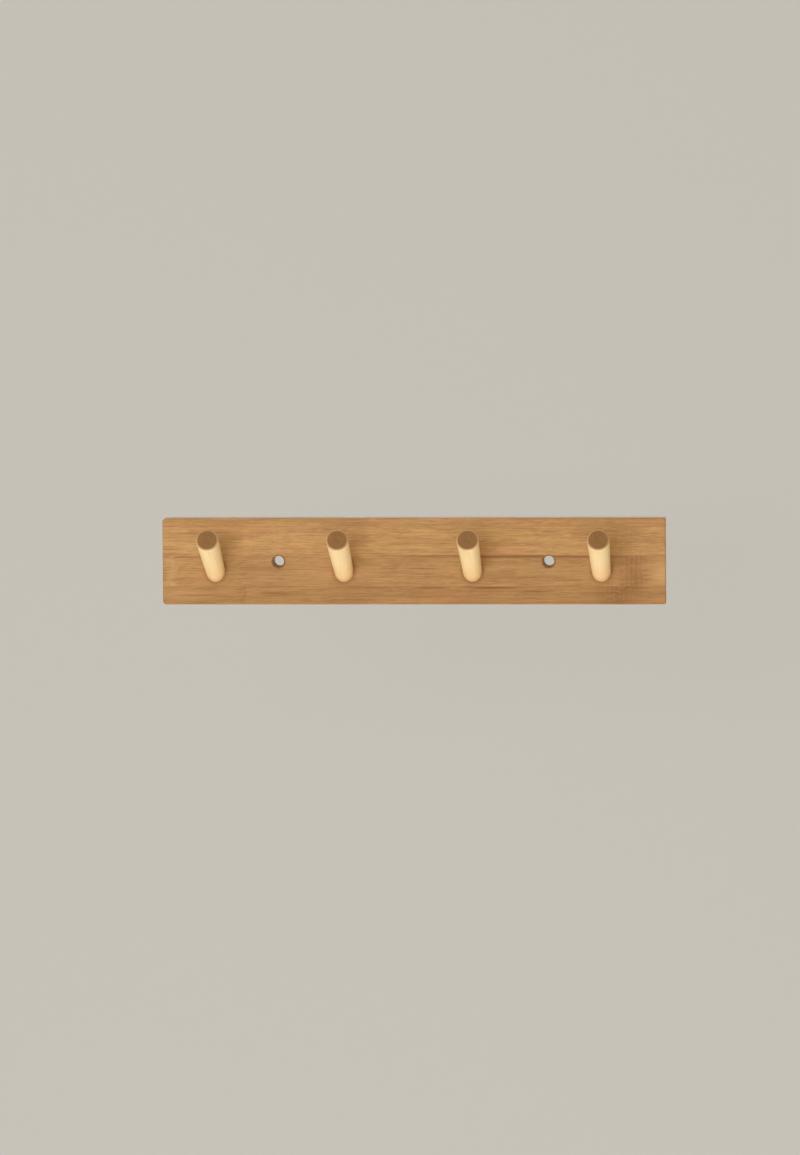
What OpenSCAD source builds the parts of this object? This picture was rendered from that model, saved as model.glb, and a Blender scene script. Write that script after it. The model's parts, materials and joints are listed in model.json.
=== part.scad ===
// Wall peg rack: a bamboo board glued up from three layers of strips,
// with tapered round pegs that slope upwards out of angled blind sockets
// and countersunk holes for two wall screws.
// Millimetres. The origin is the centre of the back face, which lies on
// the wall: +X runs along the board, +Z is up, and the pegs point to -Y.

/* [Board] */
// Length of the board, end to end
board_w = 350; // [320:5:450]
// Height of the board, top edge to bottom edge
board_h = 60; // [56:1:72]
// Thickness of one glued layer of bamboo, of which there are three
layer_t = 5; // [4.5:0.1:7]
// Corner radius at the left end of the board
left_corner_r = 2.5; // [0.8:0.1:5]
// Corner radius at the right end of the board
right_corner_r = 1; // [0.8:0.1:5]
// Width of the chamfer that eases the front edges
edge_ease = 0.8; // [0.3:0.1:1.2]

/* [Bamboo strips] */
// Width of a full bamboo strip
strip_w = 20.5; // [19:0.5:24]
// Wood between a screw hole and the seam above it, in the front layer
screw_land = 0.2; // [0.1:0.1:2]
// Wood between the peg sockets and the seam below them, in the front layer
peg_land = 1.1; // [0.5:0.1:3]
// Wood between a screw hole and the seam below it, in the back layer
back_land = 1.5; // [1:0.1:4]

/* [Pegs] */
// Number of pegs along the board
peg_count = 4; // [3:1:5]
// Left end of the board to the first peg, at the front face
first_peg_inset = 37; // [30:0.5:45]
// Right end of the board to the last peg, at the front face
last_peg_inset = 44.5; // [35:0.5:50]
// How far the pegs leave the board below its middle line
peg_drop = 6.7; // [0:0.1:9]
// Angle at which the pegs rise from level
peg_angle = 24; // [10:1:30]
// Length of a peg outside the board, along its axis
peg_out = 63; // [50:1:80]
// Diameter of a peg where it leaves the board
peg_root_d = 13.4; // [11:0.1:15]
// Diameter of a peg near its outer end
peg_tip_d = 15.2; // [12:0.1:18]
// Radius that eases the rim of a peg's outer end
peg_rim_r = 1; // [0.4:0.1:2.5]
// Chamfer on the hidden end of a peg
peg_tail_ease = 1; // [0.4:0.1:2]
// Least wood left behind a peg's socket
socket_floor = 2.2; // [1.5:0.1:3.5]
// Glue film round a peg in its socket
glue_gap = 0.1; // [0.05:0.05:0.2]

/* [Wall screws] */
// End of the board to the nearer screw hole
screw_inset = 81; // [74:1:90]
// Diameter of a screw hole
screw_hole_d = 7.5; // [5:0.1:8]
// Diameter of a countersink at the front face
countersink_d = 9.8; // [8.5:0.1:12]
// Depth of a countersink
countersink_t = 1.2; // [0.8:0.1:2.5]

/* [Hidden] */
$fn = 96;
// Facets along the eased rim of a peg
rim_steps = 8;
// How far a cutting shape runs past the surface that it cuts
past = 1;

layer_count = 3;
board_t = layer_count * layer_t;
board_top = board_h / 2;

// Places of the pegs and the screw holes along the board
peg_pitch = (board_w - first_peg_inset - last_peg_inset) / (peg_count - 1);
function peg_x(i) = -board_w / 2 + first_peg_inset + (i - 1) * peg_pitch;
screw_xs = [-board_w / 2 + screw_inset, board_w / 2 - screw_inset];

// A socket's end is square to its peg, so its upper rim reaches deepest
peg_root_r = peg_root_d / 2;
peg_tip_r = peg_tip_d / 2;
socket_r = peg_root_r + glue_gap;
socket_depth = (board_t - socket_floor - socket_r * sin(peg_angle)) / cos(peg_angle);
// The taper starts where the whole round of the peg has left the board
taper_start = socket_r * tan(peg_angle);

// Glue seams of each layer as heights over the board's middle line, top first.
// The front strip that carries the pegs clears their sockets and the screw holes.
screw_hole_r = screw_hole_d / 2;
front_upper = screw_hole_r + screw_land;
socket_reach = peg_drop + layer_t * tan(peg_angle) + socket_r / cos(peg_angle);
front_seams = [front_upper + strip_w, front_upper, -socket_reach - peg_land];
// A core seam runs along the middle of the sockets
core_lower = -peg_drop - 1.5 * layer_t * tan(peg_angle);
core_seams = [core_lower + strip_w, core_lower];
back_middle = -screw_hole_r - back_land;
back_seams = [back_middle + strip_w, back_middle, back_middle - strip_w];
front_count = len(front_seams) + 1;
core_count = len(core_seams) + 1;
back_count = len(back_seams) + 1;

// A plate of the board's height that reaches one end: side is -1 for the left
module end_plate(side, r) {
    plate_w = board_w - board_h;
    translate([side * board_h / 2, 0]) {
        square([plate_w - 2 * r, board_h], center = true);
        square([plate_w, board_h - 2 * r], center = true);
        for (end = [-1, 1], edge = [-1, 1])
            translate([end * (plate_w / 2 - r), edge * (board_h / 2 - r)])
                circle(r = r);
    }
}

// Outline of the board seen from the front, with its rounded corners
module board_outline() {
    union() {
        end_plate(-1, left_corner_r);
        end_plate(1, right_corner_r);
    }
}

// Section across a span of the board: square at the back, eased in front
module eased_section(span) {
    polygon([
        [-span / 2, 0],
        [-span / 2, -board_t + edge_ease],
        [-span / 2 + edge_ease, -board_t],
        [span / 2 - edge_ease, -board_t],
        [span / 2, -board_t + edge_ease],
        [span / 2, 0]
    ]);
}

// The whole board before it is drilled
module board_blank() {
    intersection() {
        rotate([90, 0, 0])
            linear_extrude(height = board_t)
                board_outline();
        linear_extrude(height = board_h, center = true)
            eased_section(board_w);
        rotate([90, 0, 90])
            linear_extrude(height = board_w, center = true)
                mirror([1, -1])
                    eased_section(board_h);
    }
}

// The space of one strip between its seams: layer 1 is the front, strip 1 the top
module strip_space(layer, seams, i) {
    upper = i == 1 ? board_top + past : seams[i - 2];
    lower = i > len(seams) ? -board_top - past : seams[i - 1];
    front_y = -board_t + (layer - 1) * layer_t;
    translate([-board_w / 2 - past, front_y, lower])
        cube([board_w + 2 * past, layer_t, upper - lower]);
}

// Through holes for the wall screws, countersunk at the front face
module screw_holes() {
    for (x = screw_xs)
        translate([x, 0, 0])
            rotate([90, 0, 0]) {
                translate([0, 0, -past])
                    cylinder(d = screw_hole_d, h = board_t + 2 * past);
                translate([0, 0, board_t - countersink_t])
                    cylinder(d1 = screw_hole_d, d2 = countersink_d, h = countersink_t);
            }
}

// Moves what is drawn along +Z onto the axis of a peg, from the front face out
module on_peg_axis(i) {
    translate([peg_x(i), -board_t, -peg_drop])
        rotate([90 - peg_angle, 0, 0])
            children();
}

// Blind sockets for the pegs, drilled square to their axes
module peg_sockets() {
    for (i = [1:peg_count])
        on_peg_axis(i)
            translate([0, 0, -socket_depth])
                cylinder(r = socket_r, h = socket_depth + taper_start + past);
}

// One glued strip of bamboo with all that is drilled in it
module strip(layer, seams, i) {
    difference() {
        intersection() {
            board_blank();
            strip_space(layer, seams, i);
        }
        screw_holes();
        peg_sockets();
    }
}

module front_strip(i) {
    color(i % 2 == 0 ? "burlywood" : "tan")
        strip(1, front_seams, i);
}

module core_strip(i) {
    color(i % 2 == 0 ? "peru" : "sandybrown")
        strip(2, core_seams, i);
}

module back_strip(i) {
    color(i % 2 == 0 ? "tan" : "burlywood")
        strip(3, back_seams, i);
}

// Half outline of a peg: chamfered tail, straight shank, taper, eased rim
module peg_profile() {
    tail = -socket_depth + glue_gap;
    rim = [
        for (k = [0:rim_steps])
            let (a = 90 * k / rim_steps)
                [
                    peg_tip_r - peg_rim_r * (1 - cos(a)),
                    peg_out - peg_rim_r * (1 - sin(a))
                ]
    ];
    polygon(concat(
        [
            [0, tail],
            [peg_root_r - peg_tail_ease, tail],
            [peg_root_r, tail + peg_tail_ease],
            [peg_root_r, taper_start]
        ],
        rim,
        [[0, peg_out]]
    ));
}

// A turned peg, glued into its socket
module peg(i) {
    color("wheat")
        on_peg_axis(i)
            rotate_extrude()
                peg_profile();
}

for (i = [1:front_count])
    front_strip(i);
for (i = [1:core_count])
    core_strip(i);
for (i = [1:back_count])
    back_strip(i);
for (i = [1:peg_count])
    peg(i);
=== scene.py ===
"""Wall peg rack: the finish of a glued bamboo board with turned pegs.

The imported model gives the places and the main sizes. Each strip of the board
and each peg is modelled again here, with its eased edges, holes and sockets,
and gets the grain of carbonised or natural bamboo.
"""

import json
import math
from collections import namedtuple

import bmesh
import bpy
from bpy.props import FloatProperty, FloatVectorProperty, PointerProperty
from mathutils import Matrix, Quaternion, Vector


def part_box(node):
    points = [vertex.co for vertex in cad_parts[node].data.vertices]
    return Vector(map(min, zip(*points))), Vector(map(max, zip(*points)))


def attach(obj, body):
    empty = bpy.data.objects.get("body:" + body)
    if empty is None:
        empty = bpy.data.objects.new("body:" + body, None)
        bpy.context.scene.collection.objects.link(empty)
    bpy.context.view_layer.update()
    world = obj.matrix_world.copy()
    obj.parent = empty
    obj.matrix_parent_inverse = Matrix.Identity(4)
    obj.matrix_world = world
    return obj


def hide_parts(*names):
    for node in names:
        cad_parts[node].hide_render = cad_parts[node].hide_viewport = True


bl_info = {
    "name": "Wall Peg Rack",
    "version": (1, 0, 0),
    "blender": (4, 5, 0),
    "location": "3D View > Sidebar > Peg Rack",
    "description": "Models a bamboo wall rack with turned coat pegs",
    "category": "Add Mesh",
}

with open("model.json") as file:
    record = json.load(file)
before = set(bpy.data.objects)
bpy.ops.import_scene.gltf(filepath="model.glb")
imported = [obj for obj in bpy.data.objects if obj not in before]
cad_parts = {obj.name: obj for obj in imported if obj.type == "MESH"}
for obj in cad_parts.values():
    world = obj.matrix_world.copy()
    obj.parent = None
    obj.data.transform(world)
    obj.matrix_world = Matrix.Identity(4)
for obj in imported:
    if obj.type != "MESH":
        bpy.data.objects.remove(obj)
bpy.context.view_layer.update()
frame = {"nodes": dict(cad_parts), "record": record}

MM = 0.001
# How finely round forms are drawn: sides of a drilled hole and of a peg, and
# steps across a corner of the board, an eased edge and the rim of a peg
DRILL_SIDES = 64
PEG_SIDES = 96
CORNER_STEPS = 8
EASE_STEPS = 4
RIM_STEPS = 8
# Faces that meet at less than this are shaded as one smooth surface
SMOOTH_ANGLE = math.radians(30)
# Nearly all values of a noise lie between these
NOISE_LOW, NOISE_HIGH = 0.3, 0.7
# Tints of the light from a warm card and from the room, and the room's level
CARD_LIGHT = "FFD9A0"
ROOM_LIGHT = "FFEACC"
ROOM_LEVEL = 0.11
MOUNTS = {mount["name"]: mount for mount in frame["record"]["mounts"]}
NODES = sorted(frame["nodes"])


def nodes_named(start):
    """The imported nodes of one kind, in order."""
    return [name for name in NODES if name.startswith(start)]


def joined_box(names):
    """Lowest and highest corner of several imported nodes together."""
    boxes = [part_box(name) for name in names]
    low = Vector([min(box[0][i] for box in boxes) for i in range(3)])
    high = Vector([max(box[1][i] for box in boxes) for i in range(3)])
    return low, high


FACE_NODES = nodes_named("front_strip_")
CORE_NODES = nodes_named("core_strip_")
BACK_NODES = nodes_named("back_strip_")
PEG_NODES = nodes_named("peg_")
BOARD_LOW, BOARD_HIGH = joined_box(FACE_NODES + CORE_NODES + BACK_NODES)
SCREW_HOLES = [MOUNTS["screw_hole_left"], MOUNTS["screw_hole_right"]]

# Where the bamboo shows a knuckle or a streak of another tone. Places and widths
# are in millimetres, and places count from the board's left end and top edge.
Knuckle = namedtuple("Knuckle", "right spread strength tone")
Streak = namedtuple("Streak", "start end down width strength tone")
KNUCKLES = {
    "front_strip_1": (Knuckle(214, 4, 0.3, "pale"),),
    "front_strip_2": (
        Knuckle(59, 4, 0.3, "pale"),
        Knuckle(80, 6, 0.4, "pale"),
        Knuckle(324, 12, 0.3, "dark"),
    ),
    "front_strip_3": (Knuckle(6, 6, 0.6, "pale"), Knuckle(327, 14, 0.9, "dark")),
    "front_strip_4": (Knuckle(56, 4, 0.5, "dark"), Knuckle(318, 21, 0.95, "dark")),
    "core_strip_1": (Knuckle(120, 6, 0.8, "dark"),),
    "core_strip_2": (Knuckle(265, 6, 0.8, "dark"),),
    "core_strip_3": (Knuckle(31, 6, 0.8, "dark"),),
    "back_strip_1": (Knuckle(96, 8, 0.8, "dark"),),
    "back_strip_2": (Knuckle(289, 9, 0.9, "dark"),),
    "back_strip_3": (Knuckle(44, 8, 0.9, "dark"), Knuckle(246, 7, 0.7, "pale")),
    "back_strip_4": (Knuckle(171, 8, 0.8, "dark"),),
}
STREAKS = {
    "front_strip_1": (
        Streak(-10, 30, 4.2, 1.6, 0.65, "red"),
        Streak(26, 58, 3.8, 1.3, 0.4, "red"),
        Streak(118, 166, 3.8, 1.4, 0.4, "red"),
        Streak(244, 350, 4.2, 1.5, 0.25, "red"),
    ),
    "front_strip_2": (
        Streak(6, 56, 8.0, 1.1, 0.6, "red"),
        Streak(128, 160, 24.6, 0.7, 0.5, "dark"),
        Streak(146, 330, 25.9, 0.8, 0.8, "dark"),
    ),
    "front_strip_3": (
        Streak(-6, 34, 27.0, 0.8, 0.6, "dark"),
        Streak(146, 345, 26.8, 1.3, 1.0, "dark"),
        Streak(268, 316, 26.8, 1.2, 1.0, "dark"),
        Streak(142, 164, 31.4, 0.9, 0.5, "red"),
        Streak(164, 200, 35.0, 0.9, 0.7, "dark"),
        Streak(335, 362, 38.0, 16.0, 0.7, "pale"),
    ),
    "front_strip_4": (
        Streak(128, 168, 48.2, 1.0, 0.9, "dark"),
        Streak(168, 208, 48.4, 1.3, 0.9, "dark"),
        Streak(202, 258, 48.2, 1.8, 1.0, "dark"),
        Streak(242, 274, 51.0, 1.1, 0.8, "dark"),
        Streak(290, 342, 52.0, 1.4, 0.8, "dark"),
        Streak(308, 342, 48.4, 2.0, 1.0, "dark"),
        Streak(-10, 34, 53.0, 9.0, 0.25, "pale"),
        Streak(2, 40, 53.5, 0.9, 0.7, "dark"),
        Streak(60, 98, 52.5, 2.6, 0.7, "dark"),
        Streak(336, 360, 57.0, 5.0, 0.6, "red"),
    ),
}
# How much of the dark tone each strip holds all over
SHADES = {
    "front_strip_1": 0.15,
    "front_strip_2": 0.02,
    "front_strip_3": 0.23,
    "front_strip_4": 0.4,
    "core_strip_1": 0.1,
    "core_strip_2": 0.3,
    "core_strip_3": 0.05,
    "back_strip_1": 0.25,
    "back_strip_2": 0.08,
    "back_strip_3": 0.3,
    "back_strip_4": 0.15,
}


def linear(code):
    """An sRGB hex colour, such as BB8C59, as linear red, green, blue and alpha."""
    parts = [int(code[i : i + 2], 16) / 255 for i in (0, 2, 4)]
    straight = [
        part / 12.92 if part <= 0.04045 else ((part + 0.055) / 1.055) ** 2.4
        for part in parts
    ]
    return (*straight, 1.0)


def length_property(name, description, millimetres):
    """A length that a user can change, given in millimetres."""
    return FloatProperty(
        name=name, description=description, default=millimetres * MM, min=0.0, unit="LENGTH"
    )


def colour_property(name, description, code):
    """A colour that a user can change, given as sRGB hex."""
    return FloatVectorProperty(
        name=name,
        description=description,
        default=linear(code),
        size=4,
        min=0.0,
        max=1.0,
        subtype="COLOR",
    )


class BoardSizes(bpy.types.PropertyGroup):
    """Sizes of the board's corners, edges and holes"""

    left_corner_r: length_property("Left corners", "Radius of the two left corners", 2.5)
    right_corner_r: length_property("Right corners", "Radius of the two right corners", 1.0)
    edge_ease: length_property("Front edges", "Rounding of the front edges", 0.8)
    back_ease: length_property("Back edges", "Rounding of the back edges", 0.3)
    countersink_d: length_property("Countersink", "Diameter of a countersink", 9.8)
    countersink_t: length_property("Countersink depth", "Depth of a countersink", 1.2)
    glue_gap: length_property("Glue film", "Glue film round a peg in its socket", 0.1)


class PegSizes(bpy.types.PropertyGroup):
    """Sizes of the ends of a peg"""

    root_d: length_property("Root", "Diameter of a peg where it leaves the board", 13.4)
    rim_r: length_property("Rim", "Rounding of the rim at the outer end", 1.0)
    tail: length_property("Tail", "Length of the end that is glued into the board", 10.88)
    tail_ease: length_property("Tail chamfer", "Chamfer on the glued end", 1.0)


class Finishes(bpy.types.PropertyGroup):
    """Tones of the woods, the glue and the backdrop"""

    bamboo_light: colour_property("Bamboo, light", "Soft pith between the fibres", "D1A061")
    bamboo_mid: colour_property("Bamboo, middle", "Main tone of carbonised bamboo", "C29356")
    bamboo_brown: colour_property("Bamboo, brown", "Dense fibre bundles", "AD7D45")
    bamboo_red: colour_property("Bamboo, red", "Streaks next to the culm's skin", "C1844E")
    bamboo_straw: colour_property("Bamboo, straw", "Fibres that took less steam", "BE934F")
    bamboo_dark: colour_property("Bamboo, dark", "Dark dashes, streaks and knuckles", "8D5B1E")
    bamboo_pale: colour_property("Bamboo, pale", "Pale knuckles and ends", "D6A669")
    bore_dark: colour_property("Bore, dark", "Shaded torn fibres in a hole", "80562B")
    bore_pale: colour_property("Bore, pale", "Raw torn fibres in a hole", "B8864F")
    glue: colour_property("Glue line", "Amber glue in a seam", "6E4522")
    peg_pale: colour_property("Peg, pale", "Pale ground of natural bamboo", "FFE4B0")
    peg_mid: colour_property("Peg, middle", "Main tone of the pegs", "FEDFA6")
    peg_fibre: colour_property("Peg fibres", "Fibres of natural bamboo", "EAC690")
    # Painted warm light bounced from the board onto the lower peg
    peg_warm_bounce: colour_property("Peg, warm", "Warmer tone near the board", "FAD195")
    # Also the tone of the painted shade at a peg's foot
    peg_rim_and_foot_shade: colour_property("Peg rim", "Cut fibres round a peg's rim", "C4965D")
    end_mid: colour_property("Peg end", "End grain darkened by the lacquer", "996B31")
    end_dark: colour_property("Peg end, dark", "Fibre ends in a peg's end", "785020")
    wall: colour_property("Backdrop", "Pale matt wall and floor", "DAD7D0")
    wall_seen: colour_property("Backdrop, seen", "Tone of wall and floor in the picture", "C6C2B9")


def select_nothing():
    """Leaves nothing selected, so that the next operator acts on the new piece alone."""
    bpy.ops.object.select_all(action="DESELECT")


def select_only(piece):
    """Leaves one piece selected and active, for the next operator."""
    select_nothing()
    piece.select_set(True)
    bpy.context.view_layer.objects.active = piece


def edit(piece):
    """Opens one piece in edit mode, working on edges."""
    select_only(piece)
    bpy.ops.object.mode_set(mode="EDIT")
    bpy.ops.mesh.select_mode(type="EDGE")


def leave_edit():
    """Goes back from edit mode to object mode."""
    bpy.ops.object.mode_set(mode="OBJECT")


def pick_edges(piece, wanted):
    """Selects the edges of the piece in edit mode whose two ends pass a test."""
    mesh = bmesh.from_edit_mesh(piece.data)
    bpy.ops.mesh.select_all(action="DESELECT")
    for edge in mesh.edges:
        edge.select_set(wanted(edge.verts[0].co, edge.verts[1].co))
    bmesh.update_edit_mesh(piece.data)


def near(a, b):
    """Whether two places along an axis are the same to a hundredth of a millimetre."""
    return abs(a - b) < 0.01 * MM


def ease_edges(piece, wanted, width, steps):
    """Rounds the edges that pass a test."""
    edit(piece)
    pick_edges(piece, wanted)
    bpy.ops.mesh.bevel(offset=width, segments=steps, profile=0.5, affect="EDGES")
    leave_edit()


def add_block(name, low, high):
    """A block between two corners, whose place is in its mesh."""
    select_nothing()
    bpy.ops.mesh.primitive_cube_add(size=1)
    block = bpy.context.object
    block.name = block.data.name = name
    edit(block)
    bpy.ops.mesh.select_all(action="SELECT")
    bpy.ops.transform.resize(value=high - low)
    bpy.ops.transform.translate(value=(low + high) / 2)
    leave_edit()
    return block


def cut_away(piece, cutter, material):
    """Cuts the cutter's shape out of the piece in a material, and deletes the cutter."""
    cutter.data.materials.append(material)
    cut = piece.modifiers.new("cut", "BOOLEAN")
    cut.operation = "DIFFERENCE"
    cut.solver = "EXACT"
    cut.material_mode = "TRANSFER"
    cut.object = cutter
    select_only(piece)
    bpy.ops.object.modifier_apply(modifier=cut.name)
    bpy.data.objects.remove(cutter)


def shade(piece):
    """Shades the eased edges smooth and keeps the flat faces flat."""
    select_only(piece)
    bpy.ops.object.shade_smooth_by_angle(angle=SMOOTH_ANGLE)
    flat = piece.modifiers.new("flat", "WEIGHTED_NORMAL")
    flat.keep_sharp = True
    bpy.ops.object.modifier_apply(modifier=flat.name)


def extrude_up(rise, scale):
    """Extrudes the selected round upwards, and then widens or narrows it."""
    bpy.ops.mesh.extrude_region_move(TRANSFORM_OT_translate={"value": (0, 0, rise)})
    bpy.ops.transform.resize(value=(scale, scale, 1))


def draw_rounds(rounds, sides, slots=0):
    """Opens a round solid in edit mode, drawn up along Z through radius and height pairs.

    It has as many material slots as asked for, and its last face stays selected.
    """
    select_nothing()
    radius, height = rounds[0]
    bpy.ops.mesh.primitive_circle_add(
        vertices=sides, radius=radius, fill_type="NGON", location=(0, 0, 0)
    )
    solid = bpy.context.object
    for _ in range(slots):
        solid.data.materials.append(None)
    edit(solid)
    bpy.ops.mesh.select_mode(type="FACE")
    bpy.ops.mesh.select_all(action="SELECT")
    bpy.ops.transform.translate(value=(0, 0, height))
    for next_radius, next_height in rounds[1:]:
        extrude_up(next_height - height, next_radius / radius)
        radius, height = next_radius, next_height
    return solid


def lay_on_axis(solid, start, axis):
    """Closes edit mode and lays a round solid along an axis, its place in its mesh."""
    bpy.ops.mesh.select_all(action="SELECT")
    bpy.ops.mesh.normals_make_consistent(inside=False)
    leave_edit()
    solid.rotation_mode = "QUATERNION"
    solid.rotation_quaternion = Vector((0, 0, 1)).rotation_difference(axis)
    solid.location = start
    bpy.ops.object.transform_apply(location=True, rotation=True, scale=True)


PegLine = namedtuple("PegLine", "root axis length end_r")


def peg_line(number):
    """Where a peg leaves the board, its direction, its free length and its end radius."""
    mount = MOUNTS[f"coat_peg_{number}"]
    axis = Vector(mount["axis"]).normalized()
    length = mount["dims"]["length_mm"] * MM
    root = Vector(mount["pos_m"]) - axis * length / 2
    return PegLine(root, axis, length, mount["dims"]["r_mm"] * MM)


def overlaps(low, high, height, reach):
    """Whether a strip comes within reach of a height."""
    return low.z < height + reach and high.z > height - reach


def drill_strip(piece, low, high, sizes, pegs, bore):
    """Cuts the countersunk screw holes and the peg sockets out of a strip."""
    # How far a screw drill reaches past the board's back and past its face
    past_back, past_face = 1 * MM, 0.1 * MM
    for mount in SCREW_HOLES:
        centre = Vector(mount["pos_m"])
        radius = mount["dims"]["r_mm"] * MM
        sink_r = sizes.countersink_d / 2
        reach = sink_r if near(low.y, BOARD_LOW.y) else radius
        if overlaps(low, high, centre.z, reach):
            thickness = BOARD_HIGH.y - BOARD_LOW.y
            slope = (sink_r - radius) / sizes.countersink_t
            drill = draw_rounds(
                [
                    (radius, -past_back),
                    (radius, thickness - sizes.countersink_t),
                    (sink_r + slope * past_face, thickness + past_face),
                ],
                DRILL_SIDES,
            )
            lay_on_axis(drill, Vector((centre.x, BOARD_HIGH.y, centre.z)), Vector((0, -1, 0)))
            cut_away(piece, drill, bore)
    for number in range(1, len(PEG_NODES) + 1):
        line = peg_line(number)
        socket_r = pegs.root_d / 2 + sizes.glue_gap
        floor = line.root - line.axis * (pegs.tail + sizes.glue_gap)
        middle_z = (floor.z + line.root.z) / 2
        if overlaps(low, high, middle_z, (line.root.z - floor.z) / 2 + socket_r):
            depth = pegs.tail + sizes.glue_gap + socket_r
            drill = draw_rounds([(socket_r, 0), (socket_r, depth)], DRILL_SIDES)
            lay_on_axis(drill, floor, line.axis)
            cut_away(piece, drill, bore)


def model_strip(name, node, sizes, pegs, wood, bore):
    """One strip of the board, from a block: its corners, then its eased edges, then holes."""
    low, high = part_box(node)
    strip = add_block(name, low, high)
    strip.data.materials.append(wood)
    outer_z = [z for z in (BOARD_LOW.z, BOARD_HIGH.z) if near(z, low.z) or near(z, high.z)]

    def on_seam(z):
        return not near(z, BOARD_LOW.z) and not near(z, BOARD_HIGH.z)

    for x, radius in (
        (BOARD_LOW.x, sizes.left_corner_r),
        (BOARD_HIGH.x, sizes.right_corner_r),
    ):
        if outer_z:
            ease_edges(
                strip,
                lambda a, b: near(a.x, x)
                and near(b.x, x)
                and not near(a.y, b.y)
                and any(near(a.z, z) and near(b.z, z) for z in outer_z),
                radius,
                CORNER_STEPS,
            )
    for y, width in ((BOARD_LOW.y, sizes.edge_ease), (BOARD_HIGH.y, sizes.back_ease)):
        ease_edges(
            strip,
            lambda a, b: near(a.y, y)
            and near(b.y, y)
            and not (near(a.z, b.z) and on_seam(a.z)),
            width,
            EASE_STEPS,
        )
    drill_strip(strip, low, high, sizes, pegs, bore)
    shade(strip)
    return strip


def model_peg(sizes, board):
    """The first peg, drawn up from its tail round by round and then laid on its axis."""
    line = peg_line(1)
    shank_r = sizes.root_d / 2
    lean = math.asin(line.axis.z)
    # The peg is straight until it is out of its socket all round
    taper_start = (shank_r + board.glue_gap) * math.tan(lean)
    end_ring = 0.4 * MM
    angles = [math.pi / 2 * k / RIM_STEPS for k in range(RIM_STEPS + 1)]
    rim = [
        (
            line.end_r - sizes.rim_r * (1 - math.cos(angle)),
            line.length - sizes.rim_r * (1 - math.sin(angle)),
        )
        for angle in angles
    ]
    rounds = [
        (shank_r - sizes.tail_ease, -sizes.tail),
        (shank_r, -sizes.tail + sizes.tail_ease),
        (shank_r, taper_start),
        *rim,
    ]
    peg = draw_rounds(rounds, PEG_SIDES, slots=2)
    # The flat end, drawn last, takes the second slot, for its end grain
    peg.active_material_index = 1
    bpy.ops.object.material_slot_assign()
    # A narrow ring of faces keeps the shading of the flat end even
    bpy.ops.mesh.inset(thickness=end_ring)
    lay_on_axis(peg, line.root, line.axis)
    shade(peg)
    return peg


def add_node(tree, kind, settings=None, inputs=None, stops=()):
    """Adds a shader node, sets it up, sets or links its inputs and fills its colour ramp."""
    node = tree.nodes.new(f"ShaderNode{kind}")
    for name, value in (settings or {}).items():
        setattr(node, name, value)
    for key, value in (inputs or {}).items():
        socket = node.inputs[key]
        if isinstance(value, bpy.types.Node):
            tree.links.new(value.outputs[0], socket)
        elif isinstance(value, bpy.types.NodeSocket):
            tree.links.new(value, socket)
        else:
            socket.default_value = value
    for number, (place, colour) in enumerate(stops):
        ramp = node.color_ramp.elements
        element = ramp[number] if number < 2 else ramp.new(place)
        element.position = place
        element.color = colour
    return node


def new_material(name):
    """An empty node material and its tree."""
    material = bpy.data.materials.new(name)
    material.use_nodes = True
    material.node_tree.nodes.clear()
    return material, material.node_tree


def grain(tree, place, along, across, seed, detail):
    """Noise drawn out along the fibres: along and across are its grain in millimetres.

    Each seed starts at another place in the noise.
    """
    stretched = add_node(
        tree,
        "VectorMath",
        {"operation": "MULTIPLY_ADD"},
        {0: place, 1: (1 / along, 1 / across, 1 / across), 2: (seed * 7.3, seed * 3.1, seed)},
    )
    return add_node(
        tree,
        "TexNoise",
        inputs={"Vector": stretched, "Scale": 1.0, "Detail": detail, "Roughness": 0.6},
    )


def place_in_mm(tree):
    """Places in the piece's own coordinates, in millimetres."""
    place = add_node(tree, "TexCoord").outputs["Object"]
    return add_node(
        tree, "VectorMath", {"operation": "SCALE"}, {0: place, "Scale": 1 / MM}
    )


def find_knuckles(tree, in_mm, knuckles):
    """How strongly each knuckle shows, and the fibres' places once they swerve round it."""
    # In millimetres: how long the waves of a knuckle's edge are, how far it wanders
    # along the board, and how far the fibres swerve there
    wave, wander, full_swerve = 6.25, 2.5, 2.0
    x, y, z = add_node(tree, "SeparateXYZ", inputs={0: in_mm}).outputs
    noise = add_node(
        tree, "TexNoise", inputs={"Vector": in_mm, "Scale": 1 / wave, "Detail": 2.0}
    )
    swing = add_node(
        tree,
        "MapRange",
        inputs={
            "Value": noise,
            "From Min": NOISE_LOW,
            "From Max": NOISE_HIGH,
            "To Min": -1.0,
            "To Max": 1.0,
        },
    )
    zones = []
    # Away from the knuckles the fibres hardly swerve
    swerve = 0.02
    for knuckle in knuckles:
        offset = add_node(
            tree, "Math", {"operation": "SUBTRACT"}, {0: x, 1: BOARD_LOW.x / MM + knuckle.right}
        )
        bent = add_node(
            tree, "Math", {"operation": "MULTIPLY_ADD"}, {0: swing, 1: wander, 2: offset}
        )
        distance = add_node(tree, "Math", {"operation": "ABSOLUTE"}, {0: bent})
        zone = add_node(
            tree,
            "MapRange",
            {"interpolation_type": "SMOOTHSTEP"},
            {
                "Value": distance,
                "From Min": 0.0,
                "From Max": knuckle.spread,
                "To Min": knuckle.strength,
                "To Max": 0.0,
            },
        )
        swerve = add_node(tree, "Math", {"operation": "MAXIMUM"}, {0: zone, 1: swerve})
        zones.append(zone)
    shift = add_node(tree, "Math", {"operation": "MULTIPLY"}, {0: swerve, 1: swing})
    z_bent = add_node(
        tree, "Math", {"operation": "MULTIPLY_ADD"}, {0: shift, 1: full_swerve, 2: z}
    )
    return zones, add_node(tree, "CombineXYZ", inputs={0: x, 1: y, 2: z_bent})


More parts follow.
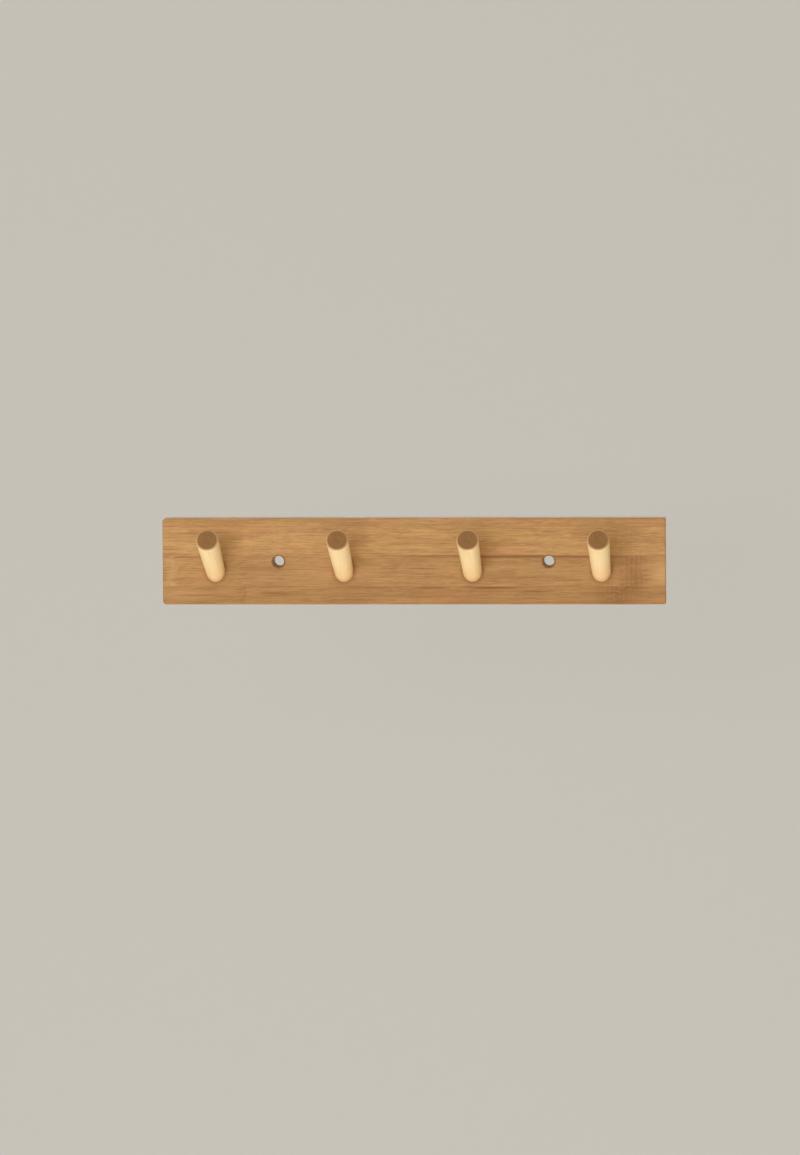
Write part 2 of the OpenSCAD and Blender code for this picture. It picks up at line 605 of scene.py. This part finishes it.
def seam_share(tree, in_mm, node):
    """How much glue shows: a hair line along each seam of a strip."""
    # The line fades between these distances from the seam, in millimetres
    fade_start, fade_end, strength = 0.05, 0.2, 0.4
    _, y, z = add_node(tree, "SeparateXYZ", inputs={0: in_mm}).outputs
    low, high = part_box(node)
    glue = 0.0
    for axis, heights, outer in (
        (y, (low.y, high.y), (BOARD_LOW.y, BOARD_HIGH.y)),
        (z, (low.z, high.z), (BOARD_LOW.z, BOARD_HIGH.z)),
    ):
        for height in heights:
            if near(height, outer[0]) or near(height, outer[1]):
                continue
            gap = add_node(tree, "Math", {"operation": "SUBTRACT"}, {0: axis, 1: height / MM})
            distance = add_node(tree, "Math", {"operation": "ABSOLUTE"}, {0: gap})
            line = add_node(
                tree,
                "MapRange",
                inputs={
                    "Value": distance,
                    "From Min": fade_start,
                    "From Max": fade_end,
                    "To Min": strength,
                    "To Max": 0.0,
                },
            )
            glue = add_node(tree, "Math", {"operation": "MAXIMUM"}, {0: line, 1: glue})
    return glue


def oval_share(tree, place, middle, half, strength, inner, outer):
    """How strongly a soft-edged oval shows on a face.

    Its middle and half axes are given along X and Z, in millimetres. It fades
    from its inner to its outer share of the half axes.
    """
    oval = add_node(
        tree,
        "VectorMath",
        {"operation": "MULTIPLY_ADD"},
        {
            0: place,
            1: (1 / half[0], 0, 1 / half[1]),
            2: (-middle[0] / half[0], 0, -middle[1] / half[1]),
        },
    )
    distance = add_node(tree, "VectorMath", {"operation": "LENGTH"}, {0: oval})
    return add_node(
        tree,
        "MapRange",
        {"interpolation_type": "SMOOTHSTEP"},
        {
            "Value": distance.outputs["Value"],
            "From Min": inner,
            "From Max": outer,
            "To Min": strength,
            "To Max": 0.0,
        },
    )


def fibre_tone(tree, in_mm, fibres, bundles, hairs, seed):
    """How pale the wood is: bundles, lanes and hairs along it, soft clouds and slanted flecks."""
    # How much bundles, lanes and hairs give to the tone, then clouds, then flecks
    thread_shares, cloud_share, fleck_share = (0.38, 0.27, 0.35), 0.16, 0.2
    lanes = grain(tree, fibres, along=120, across=4.0, seed=seed + 9, detail=2.0)
    clouds = grain(tree, fibres, along=22, across=9, seed=seed + 17, detail=2.0)
    threads = add_node(tree, "CombineXYZ", inputs={0: bundles, 1: lanes, 2: hairs})
    mixed = add_node(
        tree, "VectorMath", {"operation": "DOT_PRODUCT"}, {0: threads, 1: thread_shares}
    ).outputs["Value"]
    clouded = add_node(
        tree, "Math", {"operation": "MULTIPLY_ADD"}, {0: clouds, 1: cloud_share, 2: mixed}
    )
    slanted = add_node(
        tree, "Mapping", inputs={"Vector": in_mm, "Rotation": (0, math.radians(6), 0)}
    )
    flecks = grain(tree, slanted, along=5.0, across=0.6, seed=seed + 21, detail=0.0)
    return add_node(
        tree, "Math", {"operation": "MULTIPLY_ADD"}, {0: flecks, 1: fleck_share, 2: clouded}
    )


# Each coat below is a pair: how strongly it shows over the wood, and its colour
def hue_coats(tree, fibres, colours, seed):
    """Broad reddish and straw-coloured areas."""
    hues = grain(tree, fibres, along=60, across=9, seed=seed + 13, detail=1.0)
    coats = []
    # Where the noise begins to tint the wood, where it tints most, and the tint
    for start, end, other in (
        (0.52, 0.72, colours.bamboo_red),
        (0.48, 0.3, colours.bamboo_straw),
    ):
        share = add_node(
            tree,
            "MapRange",
            inputs={"Value": hues, "From Min": start, "From Max": end, "To Max": 0.5},
        )
        coats.append((share, other))
    return coats


def dash_coat(tree, fibres, colours, seed):
    """Thin dark dashes along the fibres."""
    dashes = grain(tree, fibres, along=14, across=0.3, seed=seed + 31, detail=1.0)
    share = add_node(
        tree,
        "MapRange",
        inputs={"Value": dashes, "From Min": 0.54, "From Max": 0.68, "To Min": 0.0, "To Max": 0.5},
    )
    return share, colours.bamboo_dark


def streak_coats(tree, node, fibres, bundles, tones):
    """The streaks of a strip, broken up by its fibre bundles."""
    # A streak is stronger on dark bundles and weaker on pale ones
    patchy = add_node(
        tree,
        "MapRange",
        inputs={"Value": bundles, "From Min": 0.3, "From Max": 0.65, "To Min": 1.4, "To Max": 0.6},
    )
    coats = []
    for streak in STREAKS.get(node, ()):
        half = (streak.end - streak.start) / 2, streak.width
        middle = (
            BOARD_LOW.x / MM + (streak.start + streak.end) / 2,
            BOARD_HIGH.z / MM - streak.down,
        )
        share = oval_share(tree, fibres, middle, half, streak.strength, inner=0.1, outer=1.0)
        broken = add_node(
            tree, "Math", {"operation": "MULTIPLY", "use_clamp": True}, {0: share, 1: patchy}
        )
        coats.append((broken, tones[streak.tone]))
    return coats


def knuckle_coats(tree, node, in_mm, zones, tones):
    """The knuckles of a strip, rippled across it."""
    # Ripples lie this many millimetres apart, and the wave texture runs through this
    # many radians in one unit
    ripple_gap, radians_per_unit = 3.4, 20
    ripple = add_node(
        tree,
        "TexWave",
        inputs={
            "Vector": in_mm,
            "Scale": 2 * math.pi / (radians_per_unit * ripple_gap),
            "Distortion": 5.0,
            "Detail": 1.5,
            "Detail Scale": 3.0,
        },
    ).outputs["Fac"]
    crests = add_node(tree, "MapRange", inputs={"Value": ripple, "To Min": 0.45, "To Max": 0.75})
    coats = []
    for knuckle, zone in zip(KNUCKLES[node], zones):
        share = add_node(tree, "Math", {"operation": "MULTIPLY"}, {0: zone, 1: crests})
        coats.append((share, tones[knuckle.tone]))
    return coats


def foot_shade_coats(tree, node, in_mm, socket_r, colours):
    """Painted shade: darker rings on the face round the feet of the pegs, where the pegs shade it.
    """
    # A ring fades from the socket's edge to one and a half times the socket's radius
    strength, ring_start, ring_end = 0.5, 1.0, 1.5
    coats = []
    for number in range(1, len(PEG_NODES) + 1):
        line = peg_line(number)
        if node in FACE_NODES and overlaps(*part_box(node), line.root.z, 0):
            half = socket_r / MM, socket_r / MM / math.hypot(line.axis.x, line.axis.y)
            middle = line.root.x / MM, line.root.z / MM
            share = oval_share(tree, in_mm, middle, half, strength, ring_start, ring_end)
            coats.append((share, colours.bamboo_dark))
    return coats


def seal_with_lacquer(tree, colour, roughness, relief, strength):
    """Ends a material as wood under satin lacquer, which follows its fibres a little."""
    # Planed fibres stand up less than this, and are drawn higher to show
    fibre_height = 0.1 * MM
    bump = add_node(
        tree, "Bump", inputs={"Height": relief, "Strength": strength, "Distance": fibre_height}
    )
    shader = add_node(
        tree,
        "BsdfPrincipled",
        inputs={"Base Color": colour, "Roughness": roughness, "Normal": bump, "IOR": 1.5},
    )
    add_node(tree, "OutputMaterial", inputs={"Surface": shader})


def carbonised_bamboo(node, colours, socket_r, seed):
    """Carbonised bamboo strip, planed and sealed with satin lacquer.

    Steam turns the sugar in it caramel. Fibre bundles under a millimetre wide
    run along it in soft lanes, with thin dark dashes and a few dark or reddish
    streaks. They swerve at a knuckle, which is rippled across, and show as dots
    on a cut end. Amber glue shows in the seams, and a painted shade darkens the
    face round the feet of the pegs.
    """
    material, tree = new_material(f"carbonised_bamboo_{node}")
    tones = {
        "dark": colours.bamboo_dark,
        "red": colours.bamboo_red,
        "pale": colours.bamboo_pale,
    }
    in_mm = place_in_mm(tree)
    zones, fibres = find_knuckles(tree, in_mm, KNUCKLES[node])
    bundles = grain(tree, fibres, along=26, across=0.8, seed=seed, detail=3.0)
    # Single fibres are too fine to show, so they are drawn as hairs 0.4 mm wide
    hairs = grain(tree, fibres, along=28, across=0.4, seed=seed + 5, detail=2.0)
    colour = add_node(
        tree,
        "ValToRGB",
        inputs={"Fac": fibre_tone(tree, in_mm, fibres, bundles, hairs, seed)},
        stops=(
            (0.58, colours.bamboo_brown),
            (0.68, colours.bamboo_mid),
            (0.78, colours.bamboo_light),
        ),
    ).outputs[0]
    for share, other in (
        *hue_coats(tree, fibres, colours, seed),
        (SHADES[node], colours.bamboo_dark),
        dash_coat(tree, fibres, colours, seed),
        *streak_coats(tree, node, fibres, bundles, tones),
        *knuckle_coats(tree, node, in_mm, zones, tones),
        # Painted shade round the feet of the pegs
        *foot_shade_coats(tree, node, in_mm, socket_r, colours),
        (seam_share(tree, in_mm, node), colours.glue),
    ):
        colour = add_node(
            tree, "Mix", {"data_type": "RGBA"}, {0: share, 6: colour, 7: other}
        ).outputs[2]

    gloss = add_node(
        tree,
        "MapRange",
        inputs={
            "Value": bundles,
            "From Min": NOISE_LOW,
            "From Max": NOISE_HIGH,
            "To Min": 0.58,
            "To Max": 0.48,
        },
    )
    relief = add_node(
        tree, "Math", {"operation": "MULTIPLY_ADD"}, {0: bundles, 1: 2.0, 2: hairs}
    )
    seal_with_lacquer(tree, colour, gloss, relief, strength=0.12)
    return material


def drilled_bamboo(colours):
    """The wall of a drilled hole: raw torn fibres, darker than the face and without gloss."""
    material, tree = new_material("drilled_bamboo")
    fibres = grain(tree, place_in_mm(tree), along=4, across=0.6, seed=3, detail=2.0)
    colour = add_node(
        tree,
        "ValToRGB",
        inputs={"Fac": fibres},
        stops=((0.35, colours.bore_dark), (0.7, colours.bore_pale)),
    )
    shader = add_node(
        tree, "BsdfPrincipled", inputs={"Base Color": colour, "Roughness": 0.85}
    )
    add_node(tree, "OutputMaterial", inputs={"Surface": shader})
    return material


def place_on_peg(tree, number):
    """Millimetres from where a peg leaves the board, with Z along the peg."""
    line = peg_line(number)
    place = add_node(tree, "TexCoord").outputs["Object"]
    tilt = math.pi / 2 - math.asin(line.axis.z)
    return add_node(
        tree,
        "Mapping",
        {"vector_type": "TEXTURE"},
        {
            "Vector": place,
            "Location": line.root,
            "Rotation": (tilt, 0, 0),
            "Scale": (MM, MM, MM),
        },
    )


def natural_bamboo(number, colours):
    """Natural bamboo peg, turned, sanded and sealed with satin lacquer.

    It is pale straw with faint darker fibres along the peg, and tan on the rim,
    where the fibres are cut. A painted warm glow of light bounced from the board
    makes it warmer towards the board, and a painted shade makes it tan at the
    foot, where it meets the board.
    """
    material, tree = new_material(f"natural_bamboo_peg_{number}")
    place = place_on_peg(tree, number)
    turned = add_node(
        tree, "Mapping", inputs={"Vector": place, "Rotation": (0, math.radians(90), 0)}
    )
    # Each peg is its own piece of bamboo
    seed = 20 + 7 * number
    fibres = grain(tree, turned, along=30, across=0.8, seed=seed, detail=2.0)
    lanes = grain(tree, turned, along=60, across=4.0, seed=seed + 3, detail=1.0)
    half = add_node(tree, "Math", {"operation": "MULTIPLY"}, {0: lanes, 1: 0.5})
    tone = add_node(tree, "Math", {"operation": "MULTIPLY_ADD"}, {0: fibres, 1: 0.5, 2: half})
    colour = add_node(
        tree,
        "ValToRGB",
        inputs={"Fac": tone},
        stops=((0.2, colours.peg_fibre), (0.5, colours.peg_mid), (0.75, colours.peg_pale)),
    ).outputs[0]
    along = add_node(tree, "SeparateXYZ", inputs={0: place}).outputs[2]
    depth = add_node(tree, "SeparateXYZ", inputs={0: place_in_mm(tree)}).outputs[1]
    end = peg_line(number).length / MM
    face = BOARD_LOW.y / MM
    # Where each tone starts and is full, in millimetres, and how strong it gets
    for value, start, full, most, other in (
        # Painted warm light bounced from the board, fading out along the peg
        (along, 34.0, 2.0, 0.85, colours.peg_warm_bounce),
        (along, end - 0.8, end - 0.3, 1.0, colours.peg_rim_and_foot_shade),
        # Painted shade at the foot, where the peg meets the board
        (depth, face - 9, face, 0.45, colours.peg_rim_and_foot_shade),
    ):
        share = add_node(
            tree,
            "MapRange",
            {"interpolation_type": "SMOOTHSTEP"},
            {"Value": value, "From Min": start, "From Max": full, "To Max": most},
        )
        colour = add_node(
            tree, "Mix", {"data_type": "RGBA"}, {0: share, 6: colour, 7: other}
        ).outputs[2]
    seal_with_lacquer(tree, colour, 0.5, fibres, strength=0.2)
    return material


def peg_end_grain(number, colours):
    """End grain of a peg: it drinks the lacquer, so it is brown, with darker fibre ends."""
    material, tree = new_material(f"peg_end_grain_{number}")
    place = place_on_peg(tree, number)
    # Real fibre ends lie closer than this, and are drawn further apart to show
    ends_per_mm, clouds_per_mm = 1.1, 0.5
    fibre_ends = add_node(
        tree,
        "TexVoronoi",
        inputs={"Vector": place, "Scale": ends_per_mm, "Randomness": 0.9},
    )
    cloud = add_node(
        tree, "TexNoise", inputs={"Vector": place, "Scale": clouds_per_mm, "Detail": 3.0}
    )
    dots = add_node(
        tree,
        "MapRange",
        inputs={
            "Value": fibre_ends,
            "From Min": 0.25,
            "From Max": 0.45,
            "To Min": 0.35,
            "To Max": 0.0,
        },
    )
    patch = add_node(
        tree,
        "MapRange",
        inputs={"Value": cloud, "From Min": 0.4, "From Max": 0.7, "To Min": 0.0, "To Max": 0.5},
    )
    share = add_node(
        tree, "Math", {"operation": "MAXIMUM", "use_clamp": True}, {0: dots, 1: patch}
    )
    colour = add_node(
        tree,
        "Mix",
        {"data_type": "RGBA"},
        {0: share, 6: colours.end_mid, 7: colours.end_dark},
    ).outputs[2]
    seal_with_lacquer(tree, colour, 0.6, fibre_ends, strength=0.2)
    return material


def finish_piece(piece, node):
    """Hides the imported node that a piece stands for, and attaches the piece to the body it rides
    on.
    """
    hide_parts(node)
    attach(piece, "root")


def make_layer(context, nodes, start, seed):
    """Models one layer of strips and gives each its own piece of bamboo."""
    scene = context.scene
    colours = scene.peg_rack_finishes
    bore = bpy.data.materials.get("drilled_bamboo") or drilled_bamboo(colours)
    socket_r = scene.peg_rack_pegs.root_d / 2 + scene.peg_rack_board.glue_gap
    for number, node in enumerate(nodes, 1):
        wood = carbonised_bamboo(node, colours, socket_r, seed + number)
        strip = model_strip(
            f"{start}_{number}", node, scene.peg_rack_board, scene.peg_rack_pegs, wood, bore
        )
        finish_piece(strip, node)


class PEGRACK_OT_face_strips(bpy.types.Operator):
    """Models the strips of the board's front layer"""

    bl_idname = "pegrack.face_strips"
    bl_label = "Face Strips"

    def execute(self, context):
        make_layer(context, FACE_NODES, "face_strip", 0)
        return {"FINISHED"}


class PEGRACK_OT_core_strips(bpy.types.Operator):
    """Models the strips of the board's middle layer"""

    bl_idname = "pegrack.core_strips"
    bl_label = "Core Strips"

    def execute(self, context):
        make_layer(context, CORE_NODES, "inner_strip", 40)
        return {"FINISHED"}


class PEGRACK_OT_back_strips(bpy.types.Operator):
    """Models the strips of the board's back layer"""

    bl_idname = "pegrack.back_strips"
    bl_label = "Back Strips"

    def execute(self, context):
        make_layer(context, BACK_NODES, "rear_strip", 80)
        return {"FINISHED"}


class PEGRACK_OT_pegs(bpy.types.Operator):
    """Turns one peg, and copies it to the places of the others"""

    bl_idname = "pegrack.pegs"
    bl_label = "Pegs"

    def execute(self, context):
        scene = context.scene
        colours = scene.peg_rack_finishes
        first = model_peg(scene.peg_rack_pegs, scene.peg_rack_board)
        first_root = peg_line(1).root
        pegs = [first]
        for number in range(2, len(PEG_NODES) + 1):
            peg = first.copy()
            peg.data = first.data.copy()
            context.collection.objects.link(peg)
            select_only(peg)
            peg.location = peg_line(number).root - first_root
            bpy.ops.object.transform_apply(location=True, rotation=True, scale=True)
            pegs.append(peg)
        for number, (peg, node) in enumerate(zip(pegs, PEG_NODES), 1):
            peg.name = peg.data.name = f"turned_peg_{number}"
            peg.data.materials[0] = natural_bamboo(number, colours)
            peg.data.materials[1] = peg_end_grain(number, colours)
            finish_piece(peg, node)
        return {"FINISHED"}


def aim(thing, target):
    """Turns a lamp or camera to look at a point."""
    thing.rotation_mode = "QUATERNION"
    thing.rotation_quaternion = (target - thing.location).to_track_quat("-Z", "Y")


def way_out(turn, rise):
    """The direction from the rack that lies so many degrees to its right and above level."""
    turn, rise = math.radians(turn), math.radians(rise)
    return Vector(
        (
            math.sin(turn) * math.cos(rise),
            -math.cos(turn) * math.cos(rise),
            math.sin(rise),
        )
    )


def place_camera():
    """The camera stands a long way off, a little to the right of the rack and above it.

    Its angles are in degrees, its distance in metres, and its lens and film in
    millimetres.
    """
    turn, rise, roll, distance = 4.0, 4.24, -0.32, 4.4
    lens, film_width = 197.5, 36.0
    target = Vector((-9.4 * MM, BOARD_LOW.y, -11.2 * MM))
    bpy.ops.object.camera_add(location=target + way_out(turn, rise) * distance)
    camera = bpy.context.object
    camera.name = "camera"
    camera.data.lens = lens
    camera.data.sensor_width = film_width
    aim(camera, target)
    camera.rotation_quaternion @= Quaternion((0, 0, 1), math.radians(roll))
    bpy.context.scene.camera = camera


def add_lamp(name, turn, rise, distance, size, level, tint="FFFFFF"):
    """A soft rectangular lamp, placed by its angles and its distance from the board's face.

    It would light a white sheet facing it there to a level, where 1 is white. Its
    angles are in degrees, and its distance and size in metres.
    """
    target = Vector((0, BOARD_LOW.y, 0))
    bpy.ops.object.light_add(type="AREA", location=target + way_out(turn, rise) * distance)
    lamp = bpy.context.object
    lamp.name = lamp.data.name = name
    lamp.data.shape = "RECTANGLE"
    lamp.data.size, lamp.data.size_y = size
    # The lamp and then the sheet send light out all round, which takes pi each time
    lamp.data.energy = level * math.pi**2 * distance**2
    lamp.data.color = linear(tint)[:3]
    lamp.visible_camera = False
    aim(lamp, target)


def place_lamps():
    """Soft lamps by the camera and at the sides, strips above and below, one behind."""
    add_lamp("key_lamp", -9, 7, 4.6, (1.3, 1.1), 0.24)
    add_lamp("left_lamp", -58, 12, 1.6, (0.9, 0.9), 0.22)
    add_lamp("right_card", 62, 8, 1.6, (0.9, 0.9), 0.085, CARD_LIGHT)
    add_lamp("top_strip", -5, 62, 1.6, (1.5, 0.8), 0.31)
    add_lamp("low_strip", 0, -50, 1.5, (1.8, 0.8), 0.36)
    add_lamp("bounce_card", 0, -70, 1.1, (2.2, 0.8), 0.75)
    add_lamp("back_lamp", 180, -4, 0.5, (0.6, 0.4), 0.7)


def seen_share(tree):
    """Is 1 where the camera sees a surface, also by way of a shine or a clear piece."""
    path = add_node(tree, "LightPath").outputs
    shone = add_node(
        tree,
        "Math",
        {"operation": "MAXIMUM"},
        {0: path["Is Camera Ray"], 1: path["Is Glossy Ray"]},
    )
    return add_node(
        tree, "Math", {"operation": "MAXIMUM"}, {0: shone, 1: path["Is Transmission Ray"]}
    )


def light_room(colour):
    """An even pale room: it lights from all round, softly and a little warmly."""
    world = bpy.data.worlds.new("pale_room")
    bpy.context.scene.world = world
    world.use_nodes = True
    tree = world.node_tree
    tree.nodes.clear()
    seen = add_node(tree, "Background", inputs={"Color": colour, "Strength": 1.0})
    light = add_node(
        tree, "Background", inputs={"Color": linear(ROOM_LIGHT), "Strength": ROOM_LEVEL}
    )
    both = add_node(tree, "MixShader", inputs={0: seen_share(tree), 1: light, 2: seen})
    add_node(tree, "OutputWorld", inputs={"Surface": both})


def wall_material(colour, seen_colour):
    """Matt wall paint: even and without gloss.

    The camera sees it nearly as one pale tone wherever the lamps reach, and
    from behind it lets the view through.
    """
    # How much of what the camera sees is that tone, and not the lit paint
    evenness = 0.75
    material, tree = new_material("matt_wall_paint")
    paint = add_node(tree, "BsdfDiffuse", inputs={"Color": colour, "Roughness": 1.0})
    tone = add_node(tree, "Emission", inputs={"Color": seen_colour})
    clear = add_node(tree, "BsdfTransparent")
    side = add_node(tree, "NewGeometry")
    seen = seen_share(tree)
    even = add_node(tree, "Math", {"operation": "MULTIPLY"}, {0: seen, 1: evenness})
    behind = add_node(
        tree, "Math", {"operation": "MULTIPLY"}, {0: side.outputs["Backfacing"], 1: seen}
    )
    front = add_node(tree, "MixShader", inputs={0: even, 1: paint, 2: tone})
    both = add_node(tree, "MixShader", inputs={0: behind, 1: front, 2: clear})
    add_node(tree, "OutputMaterial", inputs={"Surface": both})
    return material


def model_backdrop():
    """A floor that sweeps up into a wall behind the rack."""
    select_nothing()
    bpy.ops.mesh.primitive_plane_add(size=1)
    sweep = bpy.context.object
    sweep.name = sweep.data.name = "backdrop"
    width, depth, height = 9.0, 5.0, 6.0
    wall_y, floor_z = 0.6, -1.2
    bend, bend_steps = 0.4, 16
    edit(sweep)
    bpy.ops.mesh.select_all(action="SELECT")
    bpy.ops.transform.resize(value=(width, depth, 1))
    bpy.ops.transform.translate(value=(0, wall_y - depth / 2, floor_z))
    pick_edges(sweep, lambda a, b: near(a.y, wall_y) and near(b.y, wall_y))
    bpy.ops.mesh.extrude_region_move(TRANSFORM_OT_translate={"value": (0, 0, height)})
    pick_edges(
        sweep,
        lambda a, b: near(a.y, wall_y)
        and near(b.y, wall_y)
        and near(a.z, floor_z)
        and near(b.z, floor_z),
    )
    bpy.ops.mesh.bevel(offset=bend, segments=bend_steps, affect="EDGES")
    leave_edit()
    bpy.ops.object.shade_smooth_by_angle(angle=SMOOTH_ANGLE)
    return sweep


class PEGRACK_OT_stage(bpy.types.Operator):
    """Sets up the backdrop, the lamps and the camera"""

    bl_idname = "pegrack.stage"
    bl_label = "Stage"

    def execute(self, context):
        sweep = model_backdrop()
        colours = context.scene.peg_rack_finishes
        sweep.data.materials.append(wall_material(colours.wall, colours.wall_seen))
        light_room(colours.wall_seen)
        place_lamps()
        place_camera()
        context.scene.view_settings.view_transform = "Standard"
        return {"FINISHED"}


OPERATORS = (
    PEGRACK_OT_face_strips,
    PEGRACK_OT_core_strips,
    PEGRACK_OT_back_strips,
    PEGRACK_OT_pegs,
    PEGRACK_OT_stage,
)
GROUPS = (BoardSizes, PegSizes, Finishes)


class PEGRACK_PT_panel(bpy.types.Panel):
    """Lists the steps and sizes of the rack"""

    bl_idname = "PEGRACK_PT_panel"
    bl_label = "Peg Rack"
    bl_space_type = "VIEW_3D"
    bl_region_type = "UI"
    bl_category = "Peg Rack"

    def draw(self, context):
        scene = context.scene
        for group in (scene.peg_rack_board, scene.peg_rack_pegs, scene.peg_rack_finishes):
            box = self.layout.box()
            for name in group.__annotations__:
                box.prop(group, name)
        for operator in OPERATORS:
            self.layout.operator(operator.bl_idname)


def register():
    """Adds the classes to Blender, and the sizes and colours to its scenes."""
    for kind in (*GROUPS, *OPERATORS, PEGRACK_PT_panel):
        bpy.utils.register_class(kind)
    bpy.types.Scene.peg_rack_board = PointerProperty(type=BoardSizes)
    bpy.types.Scene.peg_rack_pegs = PointerProperty(type=PegSizes)
    bpy.types.Scene.peg_rack_finishes = PointerProperty(type=Finishes)


def unregister():
    """Takes away again all that register adds."""
    del bpy.types.Scene.peg_rack_finishes
    del bpy.types.Scene.peg_rack_pegs
    del bpy.types.Scene.peg_rack_board
    for kind in reversed((*GROUPS, *OPERATORS, PEGRACK_PT_panel)):
        bpy.utils.unregister_class(kind)


def main():
    """Builds the stage and then the rack, piece by piece."""
    register()
    bpy.ops.pegrack.stage()
    bpy.ops.pegrack.face_strips()
    bpy.ops.pegrack.core_strips()
    bpy.ops.pegrack.back_strips()
    bpy.ops.pegrack.pegs()


if __name__ == "__main__":
    main()
